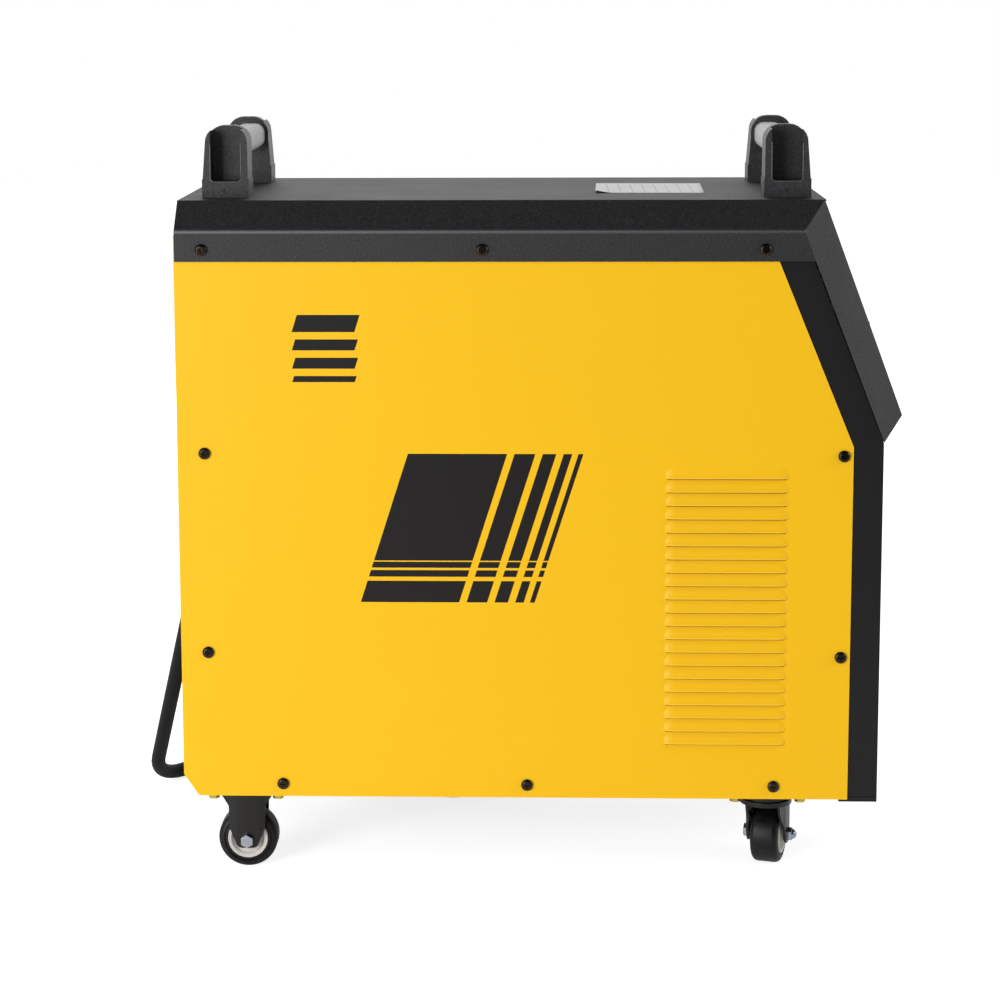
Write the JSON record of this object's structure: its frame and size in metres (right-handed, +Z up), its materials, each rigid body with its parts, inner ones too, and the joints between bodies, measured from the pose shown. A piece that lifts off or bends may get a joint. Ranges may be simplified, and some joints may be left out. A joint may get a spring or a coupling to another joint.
{
  "type": "plasma cutter unit",
  "caption": "Folded steel case on casters with a sloping control panel, louvred sides, two lifting handles, a recessed socket panel, a fan-cooled rear recess and a mains lead.",
  "frame": {"origin": "on the floor under the middle of the machine's box, without its free lead", "axes": "+X out of the front with the controls, +Y to the machine's left, +Z up"},
  "size_m": [0.6567, 0.4182, 0.6235],
  "materials": {
    "cover_grey": "fine textured powder coat, charcoal",
    "panel_yellow": "satin powder coat, warm yellow",
    "front_black": "satin powder coat, near black",
    "tray_steel": "satin powder coat, dark grey",
    "zinc": "bright zinc plate",
    "black_screw": "black oxide",
    "yellow_zinc": "yellow passivated zinc",
    "caster_steel": "black coat, semi gloss",
    "wheel_black": "moulded tread on a pale core",
    "black_plastic": "fine grained moulding",
    "grip_grey": "light grey satin moulding",
    "board_green": "solder masked board",
    "capacitor_blue": "shrink sleeve",
    "core_steel": "stacked laminations, varnished",
    "copper": "enamelled winding",
    "sink_alloy": "extruded",
    "brass": "turned",
    "hose_blue": "smooth hose",
    "window_red": "dark tinted window",
    "gauge": "polished bezel",
    "breaker_grey": "light grey moulding",
    "button_green": "green cap",
    "cord_black": "round sheath",
    "plug_red": "industrial plug"
  },
  "bodies": {
    "chassis": {"base_tray": "tray_steel", "rear_panel": "front_black", "side_panel_right": "panel_yellow", "side_panel_left": "panel_yellow", "top_cover": "cover_grey", "front_panel": "front_black", "connector_panel": "front_black", "control_panel": "front_black", "display_window": "window_red", "panel_screws": "black_screw", "fan_screws": "black_screw", "handle_screws": "black_screw", "inner_shelf": "zinc", "transformer_core": "core_steel", "transformer_winding": "copper", "heat_sinks": "sink_alloy", "inverter_board": "board_green", "capacitor_bank": "capacitor_blue", "control_board": "board_green", "gas_valve": "brass", "air_regulator": "sink_alloy", "air_hose": "hose_blue", "fan_frame": "black_plastic", "fan_grille": "zinc", "breaker": "breaker_grey", "cable_entry": "front_black", "cord_gland": "black_plastic", "strain_relief": "cord_black", "mains_cord": "cord_black", "cord_coil": "cord_black", "mains_plug": "plug_red", "air_inlet": "brass", "earth_stud": "zinc", "torch_socket": "brass", "work_socket": "black_plastic", "aux_socket": "zinc", "pressure_gauge": "gauge", "rear_handle_posts": "black_plastic", "rear_handle_grip": "grip_grey", "front_handle_posts": "black_plastic", "front_handle_grip": "grip_grey", "caster_bolts": "yellow_zinc", "rear_forks": "caster_steel", "rear_axles": "zinc", "swivel_plates": "caster_steel"},
    "rear_wheel_right": {"rear_wheel_right": "wheel_black"},
    "rear_wheel_left": {"rear_wheel_left": "wheel_black"},
    "swivel_right": {"swivel_fork_right": "caster_steel", "front_axle_right": "zinc"},
    "swivel_left": {"swivel_fork_left": "caster_steel", "front_axle_left": "zinc"},
    "front_wheel_right": {"front_wheel_right": "wheel_black"},
    "front_wheel_left": {"front_wheel_left": "wheel_black"},
    "fan_rotor": {"fan_rotor": "black_plastic"},
    "breaker_lever": {"breaker_lever": "black_plastic"},
    "current_knob": {"current_knob": "black_plastic"},
    "regulator_knob": {"regulator_knob": "black_plastic"},
    "mode_switch": {"mode_switch": "zinc"},
    "test_switch": {"test_switch": "zinc"},
    "air_button": {"air_button": "button_green"}
  },
  "joints": [
    {"name": "rear_wheel_right_spin", "type": "hinge", "parent": "chassis", "child": "rear_wheel_right", "pos_m": [-0.2465, -0.117, 0.025], "axis": [0, 1, 0], "continuous": true},
    {"name": "rear_wheel_left_spin", "type": "hinge", "parent": "chassis", "child": "rear_wheel_left", "pos_m": [-0.2465, 0.117, 0.025], "axis": [0, 1, 0], "continuous": true},
    {"name": "front_swivel_right", "type": "hinge", "parent": "chassis", "child": "swivel_right", "pos_m": [0.1902, -0.117, 0.0595], "axis": [0, 0, 1], "continuous": true},
    {"name": "front_swivel_left", "type": "hinge", "parent": "chassis", "child": "swivel_left", "pos_m": [0.1902, 0.117, 0.0595], "axis": [0, 0, 1], "continuous": true},
    {"name": "front_wheel_right_spin", "type": "hinge", "parent": "swivel_right", "child": "front_wheel_right", "pos_m": [0.19461, -0.10162, 0.025], "axis": [0.9613, -0.2756, 0], "continuous": true},
    {"name": "front_wheel_left_spin", "type": "hinge", "parent": "swivel_left", "child": "front_wheel_left", "pos_m": [0.17455, 0.11367, 0.025], "axis": [-0.2079, 0.9781, 0], "continuous": true},
    {"name": "fan_spin", "type": "hinge", "parent": "chassis", "child": "fan_rotor", "pos_m": [-0.2079, 0, 0.44], "axis": [1, 0, 0], "continuous": true},
    {"name": "breaker_tip", "type": "hinge", "parent": "chassis", "child": "breaker_lever", "pos_m": [-0.2481, 0.088, 0.301], "axis": [0, 1, 0], "range_deg": [-26, 0]},
    {"name": "current_turn", "type": "hinge", "parent": "chassis", "child": "current_knob", "pos_m": [0.25775, 0, 0.45143], "axis": [0.9369, 0, 0.3497], "range_deg": [-135, 135]},
    {"name": "regulator_turn", "type": "hinge", "parent": "chassis", "child": "regulator_knob", "pos_m": [0.2577, -0.058, 0.282], "axis": [1, 0, 0], "range_deg": [-360, 360]},
    {"name": "mode_tip", "type": "hinge", "parent": "chassis", "child": "mode_switch", "pos_m": [0.26571, -0.082, 0.4544], "axis": [0, 1, 0], "range_deg": [0, 20]},
    {"name": "test_tip", "type": "hinge", "parent": "chassis", "child": "test_switch", "pos_m": [0.26571, 0.082, 0.4544], "axis": [0, 1, 0], "range_deg": [0, 20]},
    {"name": "air_button_press", "type": "slide", "parent": "chassis", "child": "air_button", "axis": [-0.9369, 0, -0.3497], "range_m": [0, 0.003], "stiffness_N_per_m": 400, "springref_m": -0.001}
  ]
}
